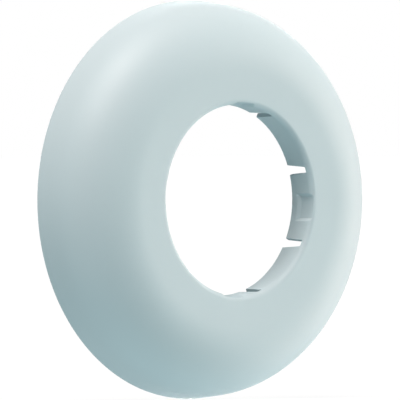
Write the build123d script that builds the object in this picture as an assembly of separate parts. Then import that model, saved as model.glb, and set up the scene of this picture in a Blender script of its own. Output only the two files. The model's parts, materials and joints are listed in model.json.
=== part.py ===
from build123d import *
import os
from math import cos, radians, sin, tan

# Pipe escutcheon: a moulded rosette that covers the hole where a soil pipe leaves a wall.
# It is one thin shell of even wall: a domed cover, open at the back, whose front rolls over
# a round lip into a collar. Slits part the collar into tongues that spring onto the pipe.
# The pipe's axis is Y and +Z is up. The front looks along -Y, and the rim stands on the wall.

# Driving dimensions, in millimetres and degrees

# Pipe and collar
pipe_diameter = 90.0
collar_length = 14.8
collar_turn = -4.6
tongue_count = 8

# Shell
wall = 2.2
height = 37.0
inner_lip_radius = 0.4
front_ring_width = 12.9
front_radius = 35.5
shoulder_radius = 26.5
shoulder_angle = 47.0
side_draft = 6.0
collar_edge_radius = 0.6

# Slits between the tongues, wider at the open end
slit_length = 12.4
slit_mouth_width = 4.9
slit_root_width = 3.2
slit_root_radius = 0.5

# Shallow pockets in the bore, each running out through the lip
pocket_count = 4
pocket_floor_width = 9.8
pocket_depth = 1.2
pocket_set_back = 6.3
pocket_side_slope = 45.0
pocket_end_slope = 60.0

# Cutters reach this far past the faces that they cut
overcut = 1.0

# Derived places in the section: radius from the pipe's axis, and height above the wall
bore_radius = pipe_diameter / 2
collar_end = height - collar_length
lip_radius = inner_lip_radius + wall
lip_centre = Vector(bore_radius + lip_radius, height - lip_radius)
front_centre = Vector(lip_centre.X + front_ring_width, height - front_radius)


def step_out(centre, radius, angle):
    """Point of the section at a radius from a centre, an angle above the outward direction."""
    return centre + Vector(cos(radians(angle)), sin(radians(angle))) * radius


shoulder_centre = step_out(front_centre, front_radius - shoulder_radius, shoulder_angle)
side_top = step_out(shoulder_centre, shoulder_radius, side_draft)
rim_radius = side_top.X + side_top.Y * tan(radians(side_draft))

# The collar grips between its rounded end and the lip, and the origin is midway there
grip_centre = (collar_end + collar_edge_radius + lip_centre.Y) / 2


def to_frame(point):
    """Turn a point of the section, radius and height, to X and Y of the part's frame."""
    return Vector(point.X, grip_centre - point.Y)


def arc(centre, radius, start_angle, end_angle):
    """Arc of the section between two directions, each an angle above the outward direction."""
    middle_angle = (start_angle + end_angle) / 2
    ends = [step_out(centre, radius, angle) for angle in (start_angle, middle_angle, end_angle)]
    return ThreePointArc(*[to_frame(point) for point in ends])


def skin(depth):
    """Section of the shell at a depth below its outer face, from the rim to the collar's end."""
    rim = Vector(rim_radius - depth / cos(radians(side_draft)), 0)
    shoulder = arc(shoulder_centre, shoulder_radius - depth, side_draft, shoulder_angle)
    front = arc(front_centre, front_radius - depth, shoulder_angle, 90)
    lip = arc(lip_centre, lip_radius - depth, 90, 180)
    side = Line(to_frame(rim), shoulder @ 0)
    front_ring = Line(front @ 1, lip @ 0)
    collar = Line(lip @ 1, to_frame(Vector(bore_radius + depth, collar_end)))
    return [side, shoulder, front, front_ring, lip, collar]


def shell():
    """Even wall between the two skins, turned about the pipe's axis, with a lead-in for the pipe."""
    outside = skin(0)
    inside = skin(wall)
    rim_face = Line(outside[0] @ 0, inside[0] @ 0)
    collar_face = Line(outside[-1] @ 1, inside[-1] @ 1)
    section = make_face(outside + inside + [rim_face, collar_face])
    lead_in = section.vertices().sort_by_distance(outside[-1] @ 1)[0]
    return revolve(fillet(lead_in, collar_edge_radius), Axis.Y)


def slit_cutter():
    """Wedge through the collar on the +X side, wider at the collar's open end."""
    root_y = grip_centre - collar_end - slit_length
    mouth_y = grip_centre - collar_end
    flare = (slit_mouth_width - slit_root_width) / 2 / slit_length
    open_y = mouth_y + overcut
    open_half = slit_mouth_width / 2 + flare * overcut
    root_half = slit_root_width / 2
    corners = [(root_y, -root_half), (open_y, -open_half), (open_y, open_half), (root_y, root_half)]
    plane = Plane(origin=(bore_radius - overcut, 0, 0), x_dir=(0, 1, 0), z_dir=(1, 0, 0))
    outline = make_face(Polyline(*corners, close=True))
    outline = fillet(outline.vertices().group_by(Axis.X)[0], slit_root_radius)
    return extrude(plane * outline, wall + 2 * overcut)


def pocket_cutter():
    """Drafted block in the bore on the +X side, with its floor on a cylinder about the axis."""
    floor_radius = bore_radius + pocket_depth
    rise = pocket_depth + overcut
    side_run = rise * tan(radians(pocket_side_slope))
    end_run = rise * tan(radians(pocket_end_slope))
    floor_back = grip_centre - collar_end - pocket_set_back
    front = grip_centre - height - overcut

    def level(radius, widen, lengthen):
        middle = (floor_back + lengthen + front) / 2
        plane = Plane(origin=(radius, middle, 0), x_dir=(0, 1, 0), z_dir=(1, 0, 0))
        return plane * Rectangle(floor_back + lengthen - front, pocket_floor_width + 2 * widen)

    block = loft([level(floor_radius - rise, side_run, end_run), level(floor_radius, 0, 0)])
    floor = Cylinder(floor_radius, 4 * height, rotation=(90, 0, 0))
    return block & floor


def around(cutter, count, start_angle):
    """Copies of a cutter evenly about the pipe's axis, turned anticlockwise as seen in front."""
    return [Rot(0, -(start_angle + 360 * i / count), 0) * cutter for i in range(count)]


def escutcheon():
    """The whole moulding: the shell with its slits and pockets cut."""
    slits = around(slit_cutter(), tongue_count, collar_turn + 180 / tongue_count)
    pockets = around(pocket_cutter(), pocket_count, collar_turn)
    return shell() - slits - pockets


os.makedirs("parts", exist_ok=True)
export_step(escutcheon(), "parts/escutcheon.step")
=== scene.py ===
import json
import math
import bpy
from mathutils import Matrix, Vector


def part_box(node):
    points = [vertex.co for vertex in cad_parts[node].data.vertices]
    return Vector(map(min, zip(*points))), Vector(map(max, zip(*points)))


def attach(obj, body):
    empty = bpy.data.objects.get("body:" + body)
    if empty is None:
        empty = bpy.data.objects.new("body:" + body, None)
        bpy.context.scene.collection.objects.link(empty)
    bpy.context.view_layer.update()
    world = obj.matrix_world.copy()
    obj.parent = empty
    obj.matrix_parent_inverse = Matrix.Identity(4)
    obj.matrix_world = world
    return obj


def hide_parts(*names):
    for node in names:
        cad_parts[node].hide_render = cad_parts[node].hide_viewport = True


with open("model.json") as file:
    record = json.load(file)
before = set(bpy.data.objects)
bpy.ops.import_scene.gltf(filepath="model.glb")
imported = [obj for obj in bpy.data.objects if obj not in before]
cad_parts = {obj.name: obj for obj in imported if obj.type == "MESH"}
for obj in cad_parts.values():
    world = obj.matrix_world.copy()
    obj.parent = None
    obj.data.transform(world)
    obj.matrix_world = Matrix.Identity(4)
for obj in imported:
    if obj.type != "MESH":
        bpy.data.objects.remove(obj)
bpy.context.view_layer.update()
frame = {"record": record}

from types import SimpleNamespace

import bpy
import numpy as np
from bpy.props import FloatProperty, FloatVectorProperty, IntProperty, PointerProperty
from mathutils import Vector

bl_info = {
    "name": "Pipe escutcheon",
    "version": (1, 0, 0),
    "blender": (4, 5, 0),
    "location": "View3D > Sidebar > Escutcheon",
    "description": "Moulds a pipe escutcheon over its packed solid and sets a plain studio round it",
    "category": "Object",
}

MM = 0.001

# The imported solid that the moulding stands for, with its body and its box
NODE = "escutcheon"
BODY = "root"
NODE_LOW, NODE_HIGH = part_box(NODE)

# The pipe's axis is Y, the front looks along -Y and the rim stands on the wall plane
WALL_PLANE = NODE_HIGH.y
PIPE_GRIP = next(m for m in frame["record"]["mounts"] if m["name"] == "pipe_grip")

# Steps of the mesh across a small rounded edge, and from the middle of a slit to its side
EDGE_STEPS = 6
SLIT_STEPS = 2

# Share of a tongue's pitch, from its middle, over which its columns are even
TONGUE_SHARE = 0.36

# A way above the slits' root that no slit reaches, in metres
FAR = 1.0

# Index of refraction of ABS, and the bounds that most values of a noise lie between
ABS_IOR = 1.52
NOISE_LOW = 0.3
NOISE_HIGH = 0.7

# Where the bore's matt ends and the face's satin begins, in lip radii past the start of the lip's roll
MATT_END = 0.2
SATIN_START = 0.7

# Width of the camera's sensor in millimetres
SENSOR_WIDTH = 36.0

# How bright the lit floor is seen: a little over white, so that no noise greys it
FLOOR_SEEN = 1.02


def linear(hex_colour):
    """Turns an sRGB hex colour into linear red, green, blue and an alpha of one."""
    channels = np.array([int(hex_colour[i:i + 2], 16) for i in (1, 3, 5)]) / 255
    low = channels / 12.92
    high = ((channels + 0.055) / 1.055) ** 2.4
    return (*np.where(channels <= 0.04045, low, high).tolist(), 1.0)


WHITE = linear("#FFFFFF")


def length(name, description, millimetres):
    """A length property whose default is given in millimetres."""
    return FloatProperty(
        name=name,
        description=description,
        default=millimetres * MM,
        min=0.0,
        unit="LENGTH",
        precision=5,
    )


def angle(name, description, degrees):
    """An angle property whose default is given in degrees."""
    return FloatProperty(name=name, description=description, default=math.radians(degrees), subtype="ANGLE")


def amount(name, description, value):
    """A plain number property, such as a strength or a roughness."""
    return FloatProperty(name=name, description=description, default=value, min=0.0)


def colour(name, description, hex_colour):
    """A colour property whose default is given as sRGB hex."""
    return FloatVectorProperty(
        name=name,
        description=description,
        default=linear(hex_colour),
        size=4,
        min=0.0,
        max=1.0,
        subtype="COLOR",
    )


class EscutcheonSizes(bpy.types.PropertyGroup):
    """Sizes of the moulding: its section, collar, slits and pockets."""

    height: length("Height", "From the wall to the flat front ring", (NODE_HIGH.y - NODE_LOW.y) / MM)
    bore_radius: length("Bore radius", "Half of the pipe's diameter", PIPE_GRIP["dims"]["r_mm"])
    wall: length("Wall", "Even thickness of the moulded wall", 2.2)
    lip_radius: length("Lip radius", "Radius of the roll from the front into the bore", 2.6)
    front_ring_width: length("Front ring", "Width of the flat ring round the lip", 12.9)
    front_radius: length("Front radius", "Radius of the dome's front arc", 35.5)
    shoulder_radius: length("Shoulder radius", "Radius of the dome's outer arc", 26.5)
    shoulder_angle: angle("Shoulder angle", "Where the front arc passes into the shoulder", 47.0)
    side_draft: angle("Side draft", "Lean of the side at the rim", 6.0)
    edge_radius: length("Edge radius", "Small round on the edges of the rim, collar and slits", 0.12)
    collar_length: length("Collar length", "From the front to the collar's open end", 14.8)
    collar_edge_radius: length("Collar edge", "Round on the bore's edge at the open end", 0.6)
    collar_turn: angle("Collar turn", "Turn of the slits and pockets about the pipe", -4.6)
    tongue_count: IntProperty(name="Tongues", description="Tongues between the slits", default=8, min=4)
    slit_length: length("Slit length", "From the open end to the slit's root", 12.4)
    slit_mouth_width: length("Slit mouth", "Width of a slit at the open end", 4.9)
    slit_root_width: length("Slit root", "Width of a slit at its root", 3.2)
    slit_root_radius: length("Slit corner", "Radius of the two corners at a slit's root", 0.5)
    pocket_count: IntProperty(name="Pockets", description="Shallow pockets in the bore", default=4, min=1)
    pocket_floor_width: length("Pocket floor", "Width of a pocket's floor", 9.8)
    pocket_depth: length("Pocket depth", "Depth of a pocket below the bore", 1.2)
    pocket_set_back: length("Pocket set back", "From the open end to a pocket's floor", 6.3)
    pocket_side_slope: angle("Pocket sides", "Lean of a pocket's two sides", 45.0)
    pocket_end_slope: angle("Pocket ramp", "Lean of the ramp at a pocket's back", 60.0)
    pocket_softness: length("Pocket softness", "How far a pocket's edges are rounded over", 0.08)


class PlasticFinish(bpy.types.PropertyGroup):
    """Colour and gloss of the moulded plastic."""

    body_colour: colour("Colour", "Cool white of the plastic", "#C9D9DE")
    cloud_colour: colour("Cloud colour", "Slightly deeper tone where the melt flowed together", "#C5D6DB")
    roughness: amount("Roughness", "Satin of the mould's finely blasted face", 0.5)
    polish_range: amount("Polish range", "How far the satin varies over the face", 0.06)
    gloss: amount("Gloss", "Strength of the face's gloss, where 0.5 is the plastic's own", 0.45)
    core_roughness: amount("Core roughness", "Roughness that the mould's core leaves in the bore", 0.75)
    core_gloss: amount("Core gloss", "Strength of the bore's gloss", 0.1)
    grain_height: length("Grain height", "Height of the fine grain left by the mould", 0.01)


class StudioStage(bpy.types.PropertyGroup):
    """Camera, floor and light round the part."""

    camera_azimuth: angle("Camera azimuth", "Turn of the camera about Z, from the front", -40.88)
    camera_elevation: angle("Camera elevation", "Rise of the camera above the pipe's axis", 0.39)
    camera_distance: length("Camera distance", "From the camera to the part", 8000.0)
    frame_width: length("Frame width", "Width of the picture at the part", 188.9)
    aim_height: length("Aim height", "Height above the wall of the point aimed at", 7.9)
    aim_drop: length("Aim drop", "How far the point aimed at lies below the pipe's axis", 0.13)
    floor_size: length("Floor size", "Side of the square floor", 40000.0)
    floor_colour: colour("Floor colour", "Floor under the part, without its glow", "#505050")
    sky_strength: amount("Sky strength", "Even light from all round", 0.03)
    lamp_level: amount("Lamp level", "Strength of all the lamps together", 1.0)


# Helpers for nodes


def node(tree, kind, settings=None, inputs=None):
    """Adds a node, sets its settings, and gives each named input a value or a link from an output."""
    made = tree.nodes.new(kind)
    for name, value in (settings or {}).items():
        setattr(made, name, value)
    for socket, value in (inputs or {}).items():
        if isinstance(value, bpy.types.NodeSocket):
            tree.links.new(value, made.inputs[socket])
        else:
            made.inputs[socket].default_value = value
    return made


def fresh_tree(owner):
    """Turns on an owner's nodes and empties them."""
    owner.use_nodes = True
    owner.node_tree.nodes.clear()
    return owner.node_tree


def pattern_scale(millimetres):
    """Scale of a noise whose features are about so many millimetres wide."""
    return 1.0 / (millimetres * MM)


# Section of the moulding, as radius from the pipe's axis and height above the wall


def even(start, end, steps):
    """So many even steps from start towards end, without the end."""
    return np.linspace(start, end, steps, endpoint=False)


def graded(stops, steps):
    """Even steps between each pair of stops, without the last stop."""
    return np.concatenate([even(a, b, n) for a, b, n in zip(stops[:-1], stops[1:], steps)])


def quarter(radius, steps):
    """Places across a rounded edge, close together where it is steep: the radius times (1 - cos)."""
    return radius * (1.0 - np.cos(even(0.0, math.pi / 2, steps)))


def mirrored(start, places):
    """The places run backwards: a start that stands for their missing end, without their first."""
    return np.concatenate([[start], places[:0:-1]])


def arc(centre, radius, degrees, facing=1.0):
    """An arc's points, the centre plus the radius times (cos, sin), and its normals, facing times those."""
    turn = np.radians(np.asarray(degrees, dtype=float))
    direction = np.stack([np.cos(turn), np.sin(turn)], axis=-1)
    return np.asarray(centre) + radius * direction, facing * direction


def line(start, end, places, degrees):
    """A line's points, the start plus a place from 0 to 1 times the way to the end, and its one normal."""
    places = np.asarray(places, dtype=float)[:, None]
    points = np.asarray(start) * (1.0 - places) + np.asarray(end) * places
    normal = (math.cos(math.radians(degrees)), math.sin(math.radians(degrees)))
    return points, np.tile(normal, (len(points), 1))


def collar_skin(lip, radius, heights, facing):
    """The collar's skin at given heights: straight along the pipe, then an arc about the lip's centre.

    The angle is 180 degrees less asin((height - centre) / radius), where that is above zero.
    """
    turn = math.pi - np.arcsin(np.clip((heights - lip[1]) / radius, 0.0, 1.0))
    points = np.stack([lip[0] + radius * np.cos(turn), heights], axis=-1)
    return points, facing * np.stack([np.cos(turn), np.sin(turn)], axis=-1)


def lip_skin(lip, radius, start, ways, facing):
    """A skin at given ways from a start angle: round the lip to its top, then straight along the ring."""
    left = radius * (start - math.pi / 2)
    points, normals = arc(lip, radius, np.degrees(start - np.minimum(ways, left) / radius), facing)
    points[:, 0] += np.clip(ways - left, 0.0, None)
    return points, normals


def section_places(size):
    """The section's centres and levels, worked out once from the sizes."""
    at = SimpleNamespace()
    at.collar_end = size.height - size.collar_length
    at.root = at.collar_end + size.slit_length
    at.back_radius = size.bore_radius + size.wall
    at.lip = np.array([size.bore_radius + size.lip_radius, size.height - size.lip_radius])
    at.front = np.array([at.lip[0] + size.front_ring_width, size.height - size.front_radius])
    at.shoulder_turn = math.degrees(size.shoulder_angle)
    at.draft = math.degrees(size.side_draft)
    at.shoulder = arc(at.front, size.front_radius - size.shoulder_radius, at.shoulder_turn)[0]
    at.side_top = arc(at.shoulder, size.shoulder_radius, at.draft)[0]
    at.rim_radius = at.side_top[0] + at.side_top[1] * math.tan(size.side_draft)
    at.pocket_floor = size.bore_radius + size.pocket_depth
    at.ramp_foot = at.collar_end + size.pocket_set_back
    at.ramp_mouth = at.ramp_foot - size.pocket_depth * math.tan(size.pocket_end_slope)
    return at


def moulding_section(size, at):
    """The closed section of the shell, as stretches of points and normals in order, each without its end.

    It runs from the rim up the side, over the shoulder, the front arc and the flat ring, round the
    lip to the slits' root, down the bore, round the collar's open end, and back along the inner skin,
    which lies one wall below the outer one. The collar's bore and back have rows at the same heights,
    so that the side faces of the slits are ladders between them.
    """
    edge = size.edge_radius
    lead = size.collar_edge_radius
    wall = size.wall
    front_plane = size.height
    back_plane = size.height - wall
    lip_back = size.lip_radius - wall
    front_back = size.front_radius - wall
    shoulder_back = size.shoulder_radius - wall

    # The rim's two small rounds touch the wall plane and the leaning side
    lean = math.sin(size.side_draft)
    upright_share = math.cos(size.side_draft)
    rim_outer = np.array([at.rim_radius - edge * (1.0 + lean) / upright_share, edge])
    rim_inner = np.array([at.rim_radius - (wall - edge * (1.0 - lean)) / upright_share, edge])
    side_foot = arc(rim_outer, edge, at.draft)[0]
    back_side_top = arc(at.shoulder, shoulder_back, at.draft)[0]
    back_side_foot = arc(rim_inner, edge, 180.0 + at.draft)[0]

    def root_turn(radius):
        return math.pi - math.asin((at.root - at.lip[1]) / radius)

    def above_root(radius, steps):
        top = max(radius * (root_turn(radius) - math.pi / 2), 6.0 * edge)
        rounding = np.concatenate([quarter(edge, EDGE_STEPS), [edge, 2.0 * edge]])
        return np.concatenate([rounding, even(4.0 * edge, top, steps)]), top

    soft = 2.0 * size.pocket_softness
    ramp = [at.ramp_foot + soft, at.ramp_foot - soft, at.ramp_mouth + soft, at.ramp_mouth - soft]
    straight = graded([at.root - size.slit_root_radius, *ramp, at.collar_end + lead], [7, 4, 4, 4, 6])
    down = np.concatenate([at.root - quarter(size.slit_root_radius, 8), straight])
    way_up, lip_top = above_root(size.lip_radius, 18)
    way_in = mirrored(lip_top, way_up)
    way_back, back_top = above_root(lip_back, 3)
    back_lip = lip_skin(at.lip, lip_back, root_turn(lip_back), np.append(way_back, back_top), -1.0)
    back_ring_start = back_lip[0][-1]
    end_inner = (size.bore_radius + lead, at.collar_end)
    end_outer = (at.back_radius, at.collar_end)

    stretches = {
        "rim_edge": arc(rim_outer, edge, even(-90.0, at.draft, 4)),
        "side": line(side_foot, at.side_top, even(0.0, 1.0, 5), at.draft),
        "shoulder": arc(at.shoulder, size.shoulder_radius, even(at.draft, at.shoulder_turn, 8)),
        "front": arc(at.front, size.front_radius, even(at.shoulder_turn, 90.0, 22)),
        "ring": line((at.front[0], front_plane), (at.lip[0], front_plane), even(0.0, 1.0, 8), 90.0),
        "lip": lip_skin(at.lip, size.lip_radius, root_turn(size.lip_radius), way_in, 1.0),
        "bore": collar_skin(at.lip, size.lip_radius, down, 1.0),
        "lead_in": arc((size.bore_radius + lead, at.collar_end + lead), lead, even(180.0, 270.0, 6)),
        "end": line(end_inner, end_outer, [0.0], 270.0),
        "end_edge": arc((at.back_radius - edge, at.collar_end + edge), edge, even(270.0, 360.0, 6)),
        "back": collar_skin(at.lip, lip_back, mirrored(at.collar_end + edge, down), -1.0),
        "back_lip": tuple(values[:-1] for values in back_lip),
        "back_ring": line(back_ring_start, (at.front[0], back_plane), even(0.0, 1.0, 7), 270.0),
        "back_front": arc(at.front, front_back, even(90.0, at.shoulder_turn, 14), -1.0),
        "back_shoulder": arc(at.shoulder, shoulder_back, even(at.shoulder_turn, at.draft, 6), -1.0),
        "back_side": line(back_side_top, back_side_foot, even(0.0, 1.0, 4), 180.0 + at.draft),
        "back_edge": arc(rim_inner, edge, even(180.0 + at.draft, 270.0, 4)),
        "rim": line((rim_inner[0], 0.0), (rim_outer[0], 0.0), [0.0], 270.0),
    }
    return stretches, way_in, way_back


def section_rows(size, at):
    """The section's stretches joined into rows, with what the slits need to know of each row.

    way is the distance above the slits' root along the skin: the height from the root on the collar,
    the arc's length on the two lips, and far elsewhere. spread is 0 where columns follow the tongues
    and 1 where they are even, and passes smoothly between the two across the flat ring.
    """
    stretches, way_in, way_back = moulding_section(size, at)
    counts = [len(points) for points, normals in stretches.values()]
    firsts = dict(zip(stretches, np.cumsum([0] + counts[:-1]).tolist()))
    points = np.concatenate([points for points, normals in stretches.values()])
    normals = np.concatenate([normals for points, normals in stretches.values()])

    def rows_of(first, after):
        return slice(firsts[first], firsts[after])

    way = np.full(len(points), FAR)
    collar = rows_of("bore", "back_lip")
    way[collar] = points[collar, 1] - at.root
    way[rows_of("lip", "bore")] = way_in
    way[rows_of("back_lip", "back_ring")] = way_back

    spread = np.ones(len(points))
    spread[rows_of("lip", "back_ring")] = 0.0
    across_ring = even(0.0, 1.0, firsts["lip"] - firsts["ring"])
    across_back = even(0.0, 1.0, firsts["back_front"] - firsts["back_ring"])
    spread[rows_of("ring", "lip")] = 0.5 + 0.5 * np.cos(math.pi * across_ring)
    spread[rows_of("back_ring", "back_front")] = 0.5 - 0.5 * np.cos(math.pi * across_back)

    in_bore = np.zeros(len(points), dtype=bool)
    in_bore[rows_of("lip", "lead_in")] = True
    return SimpleNamespace(
        radius=points[:, 0],
        height=points[:, 1],
        normal=normals,
        way=way,
        spread=spread,
        in_bore=in_bore,
        bore_ladder=np.arange(firsts["bore"], firsts["end"] + 1),
        back_ladder=np.arange(firsts["back_lip"], firsts["end_edge"] - 1, -1),
    )


# Slits and pockets of the collar


def slit_half_width(size, way):
    """Half of a slit's width at a way above its root, first plain and then with its rounded corners.

    Below the root the plain width grows in a straight line from the root's width to the mouth's, and
    within the corner radius of the root each corner takes away radius minus a circle's chord.
    """
    depth = np.clip(-way, 0.0, None)
    growth = (size.slit_mouth_width - size.slit_root_width) / size.slit_length
    plain = 0.5 * (size.slit_root_width + growth * depth)
    short = np.clip(size.slit_root_radius - depth, 0.0, None)
    corner = size.slit_root_radius - np.sqrt(size.slit_root_radius ** 2 - short ** 2)
    return plain, plain - corner


def pocket_turns(size, at, radius):
    """The angle from a pocket's middle at which its side meets a radius.

    A side is the line across = floor half + (floor radius - along) * t, with t the tangent of its lean.
    In polar terms that is radius * sqrt(1 + t * t) * sin(turn + atan t) = floor half + floor radius * t.
    """
    lean = math.tan(size.pocket_side_slope)
    reach = 0.5 * size.pocket_floor_width + at.pocket_floor * lean
    return math.asin(reach / (radius * math.hypot(1.0, lean))) - math.atan(lean)


def moulding_columns(size, at, rows, half):
    """Angles of the columns round the pipe, one row of angles for each row of the section.

    A sector runs from the middle of one slit to the middle of the next. Its columns are half a slit,
    the rounded edge, the tongue with close columns at the pocket's sides, and the same mirrored. The
    columns by the slit lie at a distance from its middle, so their angle is asin(distance / radius).
    """
    pitch = 2.0 * math.pi / size.tongue_count
    edge = size.edge_radius
    radius = rows.radius[:, None]
    in_slit = half[:, None] * even(0.0, 1.0, SLIT_STEPS)
    by_edge = half[:, None] + np.concatenate([quarter(edge, EDGE_STEPS), [edge, 2.0 * edge, 4.0 * edge]])
    near = np.arcsin(np.clip(np.concatenate([in_slit, by_edge], axis=1) / radius, 0.0, 1.0))

    soft = 2.0 * size.pocket_softness / size.bore_radius
    floor_turn = pocket_turns(size, at, at.pocket_floor)
    mouth_turn = pocket_turns(size, at, size.bore_radius)
    sides = [floor_turn - soft, floor_turn + soft, mouth_turn - soft, mouth_turn + soft]
    stops = [0.0, *sides, TONGUE_SHARE * pitch]
    half_tongue = np.concatenate([graded(stops, [2, 4, 2, 4, 4]), stops[-1:]])
    tongue = 0.5 * pitch + np.concatenate([-half_tongue[:0:-1], half_tongue])
    tongue = np.tile(tongue, (len(near), 1))
    sector = np.concatenate([near, tongue, pitch - near[:, :0:-1]], axis=1)

    columns = sector.shape[1]
    sector = sector + (even(0.0, pitch, columns) - sector) * rows.spread[:, None]
    starts = size.collar_turn + 0.5 * pitch + pitch * np.arange(size.tongue_count)
    return (starts[None, :, None] + sector[:, None, :]).reshape(len(sector), -1), columns


def folded(turn, start, count):
    """The turn from the nearest of so many evenly spaced places, the first of which is at start."""
    pitch = 2.0 * math.pi / count
    return np.mod(turn - start + 0.5 * pitch, pitch) - 0.5 * pitch


def rounded_edge_sink(size, across, plain, way):
    """How far the skin sinks beside a slit, to round its edges.

    The distance to the slit is that to a rectangle with rounded corners. Within the edge radius the
    sink is radius - sqrt(radius^2 - (radius - distance)^2), which meets the slit's face upright.
    """
    corner = size.slit_root_radius
    aside = across - plain + corner
    above = way + corner
    outside = np.hypot(np.clip(aside, 0.0, None), np.clip(above, 0.0, None))
    distance = outside + np.clip(np.maximum(aside, above), None, 0.0) - corner
    edge = size.edge_radius
    short = edge - np.clip(distance, 0.0, edge)
    return edge - np.sqrt(edge ** 2 - short ** 2)


def soft_high(a, b, softness):
    """The higher of two values, rounded over where they meet: half of a + b + sqrt((a - b)^2 + s^2)."""
    return 0.5 * (a + b + np.sqrt((a - b) ** 2 + softness ** 2))


def pocket_radius(size, at, turn, height):
    """Radius of a pocket's surface at a turn from its middle: the least of its floor, sides and ramp.

    The floor is a cylinder. The sides are the lines of pocket_turns, and the ramp leaves the floor
    at its foot and comes inwards by the height below that, divided by the tangent of its lean.
    """
    lean = math.tan(size.pocket_side_slope)
    reach = 0.5 * size.pocket_floor_width + at.pocket_floor * lean
    sides = reach / (np.sin(np.abs(turn)) + lean * np.cos(turn))
    ramp = (at.pocket_floor - (at.ramp_foot - height) / math.tan(size.pocket_end_slope)) / np.cos(turn)
    steepest = -soft_high(-sides, -ramp, size.pocket_softness)
    return -soft_high(-steepest, -at.pocket_floor, size.pocket_softness)


def moulding_surface(size):
    """Vertices and quads of the whole moulding, a closed surface.

    Each row of the section is turned about the pipe, so a point is radius * cos, wall plane - height,
    radius * sin. Beside the slits it sinks along its normal, and in the bore the pockets push it out.
    The quads of the slits are left out, and ladders of quads between bore and back close their faces.
    """
    at = section_places(size)
    rows = section_rows(size, at)
    plain, half = slit_half_width(size, rows.way)
    turn, columns = moulding_columns(size, at, rows, half)
    radius = np.repeat(rows.radius[:, None], turn.shape[1], axis=1)
    height = np.repeat(rows.height[:, None], turn.shape[1], axis=1)

    first_slit = size.collar_turn + math.pi / size.tongue_count
    across = radius * np.sin(np.abs(folded(turn, first_slit, size.tongue_count)))
    sink = rounded_edge_sink(size, across, plain[:, None], rows.way[:, None])
    radius = radius - rows.normal[:, :1] * sink
    height = height - rows.normal[:, 1:] * sink
    pocket_turn = folded(turn[rows.in_bore], size.collar_turn, size.pocket_count)
    pocket = pocket_radius(size, at, pocket_turn, height[rows.in_bore])
    radius[rows.in_bore] = soft_high(radius[rows.in_bore], pocket, size.pocket_softness)
    points = np.stack([radius * np.cos(turn), WALL_PLANE - height, radius * np.sin(turn)], axis=-1)

    # Quads between each row and the next and each column and the next, both of which close on themselves
    row_count, column_count = turn.shape
    index = np.arange(row_count * column_count).reshape(row_count, column_count)
    next_row = np.roll(index, -1, axis=0)
    skin = np.stack([index, np.roll(index, -1, axis=1), np.roll(next_row, -1, axis=1), next_row], axis=-1)
    keep = np.ones(index.shape, dtype=bool)
    column = np.arange(column_count) % columns
    in_slit = (column < SLIT_STEPS) | (column >= columns - SLIT_STEPS)
    keep[rows.bore_ladder[0]:rows.back_ladder[0], in_slit] = False

    starts = np.arange(size.tongue_count) * columns
    low_edge = starts + SLIT_STEPS
    high_edge = starts + columns - SLIT_STEPS

    def ladder(first, second):
        return np.stack([first[:-1], first[1:], second[1:], second[:-1]], axis=-1).reshape(-1, 4)

    bore = index[rows.bore_ladder]
    back = index[rows.back_ladder]
    slit_columns = (starts + np.arange(-SLIT_STEPS, SLIT_STEPS + 1)[:, None]) % column_count
    faces = np.concatenate([
        skin[keep],
        ladder(bore[:, low_edge], back[:, low_edge]),
        ladder(back[:, high_edge], bore[:, high_edge]),
        ladder(bore[0, slit_columns], back[0, slit_columns]),
    ])
    used, faces = np.unique(faces, return_inverse=True)
    return points.reshape(-1, 3)[used], faces.reshape(-1, 4)


def add_mesh_object(name, points, faces, material):
    """A smooth mesh object at the origin, whose place is in its mesh."""
    mesh = bpy.data.meshes.new(name)
    mesh.from_pydata(points.tolist(), [], faces.tolist())
    mesh.polygons.foreach_set("use_smooth", np.ones(len(mesh.polygons), dtype=bool))
    mesh.materials.append(material)
    mesh.update()
    made = bpy.data.objects.new(name, mesh)
    bpy.context.scene.collection.objects.link(made)
    return made


# Materials


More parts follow.
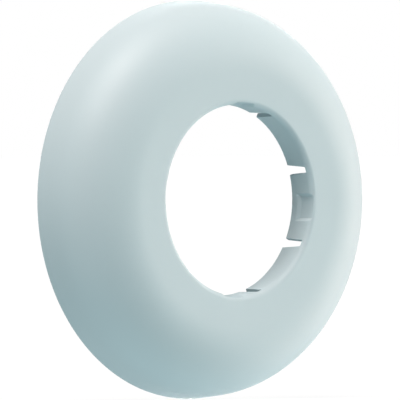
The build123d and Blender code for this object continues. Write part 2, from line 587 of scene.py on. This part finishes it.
def satin_abs(finish, size):
    """ABS, injection moulded between a finely blasted cavity and a coarser core.

    To the eye: an even cool white with broad soft highlights, a tone and a satin that drift slightly
    over the face where the melt flowed, a grain that is only just there, and a bore without gloss.
    """
    material = bpy.data.materials.new("abs_moulded_satin")
    tree = fresh_tree(material)
    place = node(tree, "ShaderNodeTexCoord").outputs["Object"]

    # Tone drifts over about 45 mm
    cloud = node(tree, "ShaderNodeTexNoise", inputs={
        "Vector": place, "Scale": pattern_scale(45.0), "Detail": 2.0, "Roughness": 0.5})
    tone = node(tree, "ShaderNodeMix", {"data_type": "RGBA"}, {
        "Factor": cloud.outputs["Fac"], "A": finish.body_colour, "B": finish.cloud_colour})

    # Satin drifts over about 20 mm
    polish = node(tree, "ShaderNodeTexNoise", inputs={
        "Vector": place, "Scale": pattern_scale(20.0), "Detail": 3.0, "Roughness": 0.55})
    satin = node(tree, "ShaderNodeMapRange", inputs={
        "Value": polish.outputs["Fac"],
        "From Min": NOISE_LOW,
        "From Max": NOISE_HIGH,
        "To Min": finish.roughness - 0.5 * finish.polish_range,
        "To Max": finish.roughness + 0.5 * finish.polish_range})

    # The core leaves the bore and its pockets matt, and the cavity leaves the face satin. The change lies
    # on the lip's roll, along which the radius plus half the height grows from its value at the start.
    across = node(tree, "ShaderNodeVectorMath", {"operation": "MULTIPLY"}, {0: place, 1: (1.0, 0.0, 1.0)})
    radius = node(tree, "ShaderNodeVectorMath", {"operation": "LENGTH"}, {0: across.outputs["Vector"]})
    half_height = node(tree, "ShaderNodeVectorMath", {"operation": "DOT_PRODUCT"}, {
        0: place, 1: (0.0, -0.5, 0.0)})
    outwards = node(tree, "ShaderNodeMath", {"operation": "ADD"}, {
        0: radius.outputs["Value"], 1: half_height.outputs["Value"]})
    roll_start = size.bore_radius + 0.5 * (size.height - size.lip_radius - WALL_PLANE)
    satin_share = node(tree, "ShaderNodeMapRange", {"interpolation_type": "SMOOTHSTEP"}, {
        "Value": outwards.outputs["Value"],
        "From Min": roll_start + MATT_END * size.lip_radius,
        "From Max": roll_start + SATIN_START * size.lip_radius}).outputs["Result"]
    roughness = node(tree, "ShaderNodeMix", {"data_type": "FLOAT"}, {
        "Factor": satin_share, "A": finish.core_roughness, "B": satin.outputs["Result"]})
    gloss = node(tree, "ShaderNodeMix", {"data_type": "FLOAT"}, {
        "Factor": satin_share, "A": finish.core_gloss, "B": finish.gloss})

    # The blasted grain is about 0.1 mm wide, and is drawn at 0.9 mm, or it would not show
    grain = node(tree, "ShaderNodeTexNoise", inputs={
        "Vector": place, "Scale": pattern_scale(0.9), "Detail": 2.0, "Roughness": 0.6})
    bump = node(tree, "ShaderNodeBump", inputs={
        "Strength": 0.5, "Distance": finish.grain_height, "Height": grain.outputs["Fac"]})

    plastic = node(tree, "ShaderNodeBsdfPrincipled", inputs={
        "Base Color": tone.outputs["Result"],
        "Roughness": roughness.outputs["Result"],
        "Normal": bump.outputs["Normal"],
        "IOR": ABS_IOR,
        "Specular IOR Level": gloss.outputs["Result"]})
    node(tree, "ShaderNodeOutputMaterial", inputs={"Surface": plastic.outputs["BSDF"]})
    return material


def seen_ray(tree):
    """One for rays from the camera and for those that it sees by gloss or through glass, and else zero."""
    path = node(tree, "ShaderNodeLightPath")
    gloss = node(tree, "ShaderNodeMath", {"operation": "MAXIMUM"}, {
        0: path.outputs["Is Camera Ray"], 1: path.outputs["Is Glossy Ray"]})
    seen = node(tree, "ShaderNodeMath", {"operation": "MAXIMUM"}, {
        0: gloss.outputs["Value"], 1: path.outputs["Is Transmission Ray"]})
    return seen.outputs["Value"]


def floor_paint(stage, floor_light):
    """Matt floor paint, made up to white where it is seen in full light, so that a shadow still shows."""
    material = bpy.data.materials.new("floor_matt_paint")
    tree = fresh_tree(material)
    paint = node(tree, "ShaderNodeBsdfDiffuse", inputs={"Color": stage.floor_colour})
    lacking = FLOOR_SEEN - floor_light * min(stage.floor_colour[:3])
    lift = node(tree, "ShaderNodeMath", {"operation": "MULTIPLY"}, {0: seen_ray(tree), 1: lacking})
    glow = node(tree, "ShaderNodeEmission", inputs={"Strength": lift.outputs["Value"]})
    both = node(tree, "ShaderNodeAddShader", inputs={0: paint.outputs["BSDF"], 1: glow.outputs["Emission"]})
    node(tree, "ShaderNodeOutputMaterial", inputs={"Surface": both.outputs["Shader"]})
    return material


def studio_sky(stage):
    """Even light from all round, seen as plain white."""
    world = bpy.data.worlds.new("studio_sky")
    tree = fresh_tree(world)
    light = node(tree, "ShaderNodeBackground", inputs={"Color": WHITE, "Strength": stage.sky_strength})
    white = node(tree, "ShaderNodeBackground", inputs={"Color": WHITE, "Strength": 1.0})
    both = node(tree, "ShaderNodeMixShader", inputs={
        0: seen_ray(tree), 1: light.outputs["Background"], 2: white.outputs["Background"]})
    node(tree, "ShaderNodeOutputWorld", inputs={"Surface": both.outputs["Shader"]})
    return world


# Soft lamps: azimuth from the front, elevation and width as seen from the part, all in degrees, then the
# strength, where 1 lights a face turned to the lamp as much as an even sky of 1, and the colour. Three
# stand below the floor, which lets their light through. The back lamp is for views of the hollow back.
LAMPS = {
    "left_high": (-60.0, 66.0, 40.0, 1.17, "#FFF8F4"),
    "left_low": (-80.0, -60.0, 75.0, 0.50, "#E3FCFF"),
    "right_high": (60.0, 15.0, 35.0, 0.17, "#FFF2E7"),
    "right": (75.0, -10.0, 50.0, 0.62, "#FFEFE8"),
    "right_front": (40.0, -15.0, 35.0, 0.28, "#E2FEFF"),
    "back": (150.0, 5.0, 50.0, 0.40, "#FAFFFF"),
}


def towards(azimuth, elevation):
    """The direction to a place seen from the part: azimuth 0 is in front, at -Y, and 90 is at +X."""
    level = math.cos(elevation)
    return Vector((math.sin(azimuth) * level, -math.cos(azimuth) * level, math.sin(elevation)))


class EscutcheonMouldingOperator(bpy.types.Operator):
    """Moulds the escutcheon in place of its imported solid"""

    bl_idname = "escutcheon.moulding"
    bl_label = "Mould the escutcheon"

    def execute(self, context):
        size = context.scene.escutcheon_sizes
        points, faces = moulding_surface(size)
        moulding = add_mesh_object("moulding", points, faces, satin_abs(context.scene.plastic_finish, size))
        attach(moulding, BODY)
        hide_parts(NODE)
        return {"FINISHED"}


class EscutcheonStageOperator(bpy.types.Operator):
    """Sets the camera, the floor and the light"""

    bl_idname = "escutcheon.stage"
    bl_label = "Set the stage"

    def execute(self, context):
        scene = context.scene
        stage = scene.studio_stage
        scene.view_settings.view_transform = "Standard"

        aim = Vector((0.0, WALL_PLANE - stage.aim_height, -stage.aim_drop))
        camera = bpy.data.objects.new("camera", bpy.data.cameras.new("camera"))
        camera.data.sensor_width = SENSOR_WIDTH
        camera.data.lens = SENSOR_WIDTH * stage.camera_distance / stage.frame_width
        direction = towards(stage.camera_azimuth, stage.camera_elevation)
        camera.location = aim + stage.camera_distance * direction
        camera.rotation_euler = (aim - camera.location).to_track_quat("-Z", "Y").to_euler()
        scene.collection.objects.link(camera)
        scene.camera = camera

        scene.world = studio_sky(stage)
        floor_light = stage.sky_strength
        for name, (azimuth, elevation, width, strength, tint) in LAMPS.items():
            direction = towards(math.radians(azimuth), math.radians(elevation))
            tint_colour = linear(tint)[:3]
            lamp = bpy.data.objects.new(name + "_lamp", bpy.data.lights.new(name + "_lamp", "SUN"))
            lamp.data.energy = math.pi * strength * stage.lamp_level
            lamp.data.color = tint_colour
            lamp.data.angle = math.radians(width)
            # Without this, Cycles mixes in bounced rays, which the floor hides from the lamps below it
            lamp.data.cycles.use_multiple_importance_sampling = False
            lamp.rotation_euler = direction.to_track_quat("Z", "Y").to_euler()
            scene.collection.objects.link(lamp)
            floor_light += strength * stage.lamp_level * min(tint_colour) * max(direction.z, 0.0)

        half = 0.5 * stage.floor_size
        corners = half * np.array([[-1.0, -1.0, 0.0], [1.0, -1.0, 0.0], [1.0, 1.0, 0.0], [-1.0, 1.0, 0.0]])
        corners[:, 2] = NODE_LOW.z
        floor = add_mesh_object("floor", corners, np.array([[0, 1, 2, 3]]), floor_paint(stage, floor_light))
        floor.visible_shadow = False
        return {"FINISHED"}


class EscutcheonPanel(bpy.types.Panel):
    """Lists the steps and the values of the escutcheon"""

    bl_idname = "VIEW3D_PT_escutcheon"
    bl_label = "Pipe escutcheon"
    bl_space_type = "VIEW_3D"
    bl_region_type = "UI"
    bl_category = "Escutcheon"

    def draw(self, context):
        scene = context.scene
        steps = (
            (EscutcheonMouldingOperator, (scene.escutcheon_sizes, scene.plastic_finish)),
            (EscutcheonStageOperator, (scene.studio_stage,)),
        )
        for operator, groups in steps:
            box = self.layout.box()
            box.operator(operator.bl_idname)
            for group in groups:
                for name in type(group).__annotations__:
                    box.prop(group, name)


CLASSES = (
    EscutcheonSizes,
    PlasticFinish,
    StudioStage,
    EscutcheonMouldingOperator,
    EscutcheonStageOperator,
    EscutcheonPanel,
)


def register():
    for cls in CLASSES:
        bpy.utils.register_class(cls)
    bpy.types.Scene.escutcheon_sizes = PointerProperty(type=EscutcheonSizes)
    bpy.types.Scene.plastic_finish = PointerProperty(type=PlasticFinish)
    bpy.types.Scene.studio_stage = PointerProperty(type=StudioStage)


def unregister():
    del bpy.types.Scene.studio_stage
    del bpy.types.Scene.plastic_finish
    del bpy.types.Scene.escutcheon_sizes
    for cls in reversed(CLASSES):
        bpy.utils.unregister_class(cls)


def main():
    register()
    bpy.ops.escutcheon.moulding()
    bpy.ops.escutcheon.stage()


if __name__ == "__main__":
    main()
